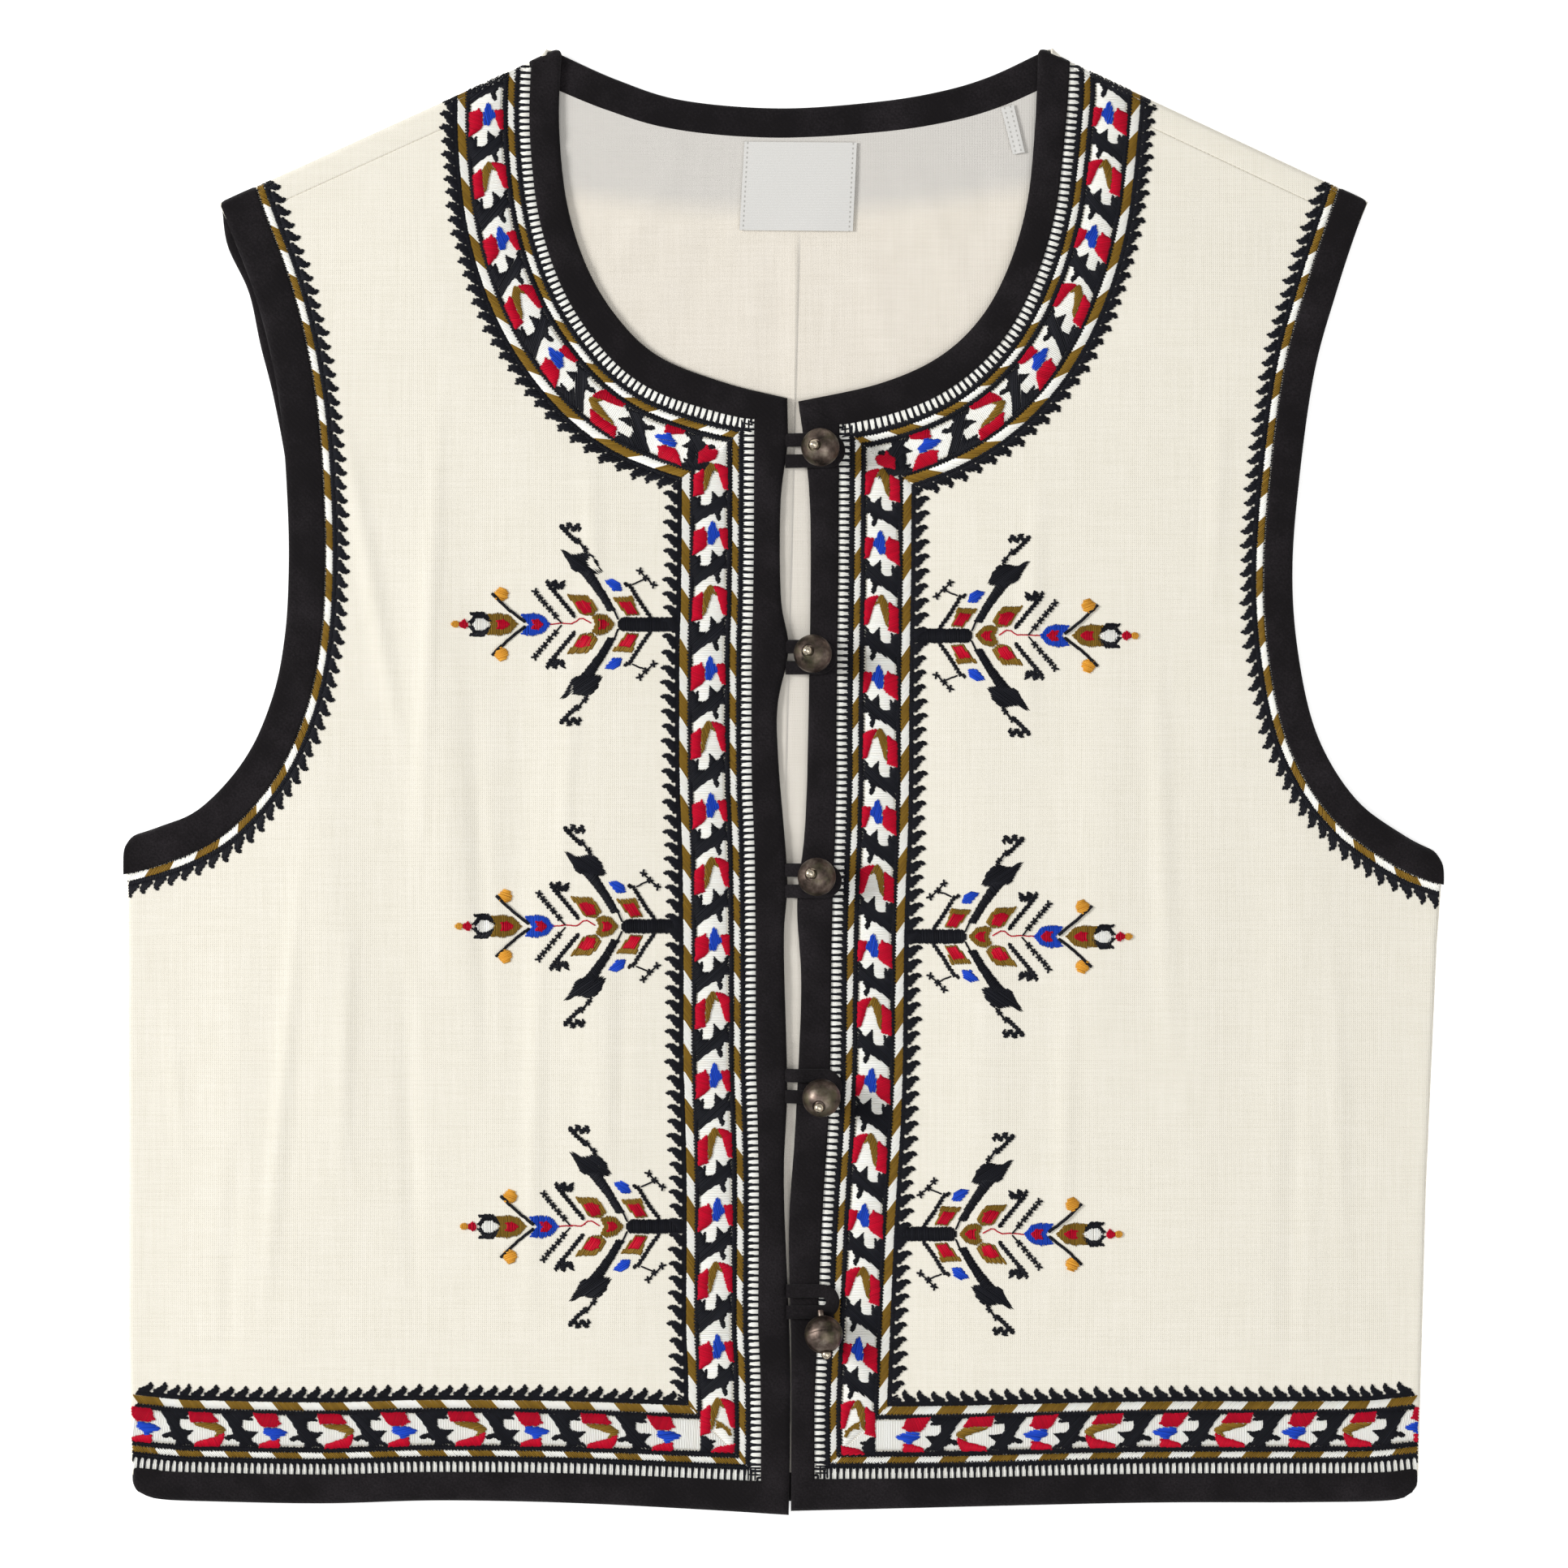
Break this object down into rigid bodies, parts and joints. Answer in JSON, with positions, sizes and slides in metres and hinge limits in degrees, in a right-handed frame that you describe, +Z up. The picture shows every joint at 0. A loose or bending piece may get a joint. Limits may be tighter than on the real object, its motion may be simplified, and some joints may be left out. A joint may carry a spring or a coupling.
{
  "type": "embroidered waistcoat",
  "caption": "Cropped sleeveless cotton waistcoat, lined, with dark bound edges, embroidered borders and ball buttons in loops, laid flat with its front up.",
  "frame": {"origin": "centre of the bounding box at the surface that the waistcoat lies on", "axes": "+X to the wearer's left, +Y from the hem to the neck, +Z up from the surface through the front"},
  "size_m": [0.4876, 0.5424, 0.024],
  "materials": {
    "cotton_cloth": "cream plain-woven cotton with fine slubs, matte",
    "cotton_lining": "thin grey-white cotton voile, matte",
    "binding_twill": "black brushed cotton binding, matte",
    "antique_metal": "antiqued silvered brass, worn bright on the knob",
    "label_tape": "white woven satin tape",
    "thread_black": "stranded cotton embroidery thread, soft sheen",
    "thread_crimson": "stranded cotton embroidery thread, soft sheen",
    "thread_olive": "stranded cotton embroidery thread, soft sheen",
    "thread_blue": "stranded cotton embroidery thread, soft sheen",
    "thread_amber": "stranded cotton embroidery thread, soft sheen",
    "thread_white": "stranded cotton embroidery thread, soft sheen"
  },
  "bodies": {
    "root": {"back": "cotton_cloth", "back_lining": "cotton_lining", "front_right": "cotton_cloth", "front_left": "cotton_cloth", "neck_binding": "binding_twill", "hem_binding": "binding_twill", "edge_binding_right": "binding_twill", "edge_binding_left": "binding_twill", "armhole_binding_right": "binding_twill", "armhole_binding_left": "binding_twill", "button_1": "antique_metal", "button_2": "antique_metal", "button_3": "antique_metal", "button_4": "antique_metal", "button_5": "antique_metal", "loop_1": "binding_twill", "loop_2": "binding_twill", "loop_3": "binding_twill", "loop_4": "binding_twill", "loop_5": "binding_twill", "label": "label_tape", "care_tab": "label_tape"}
  },
  "joints": []
}
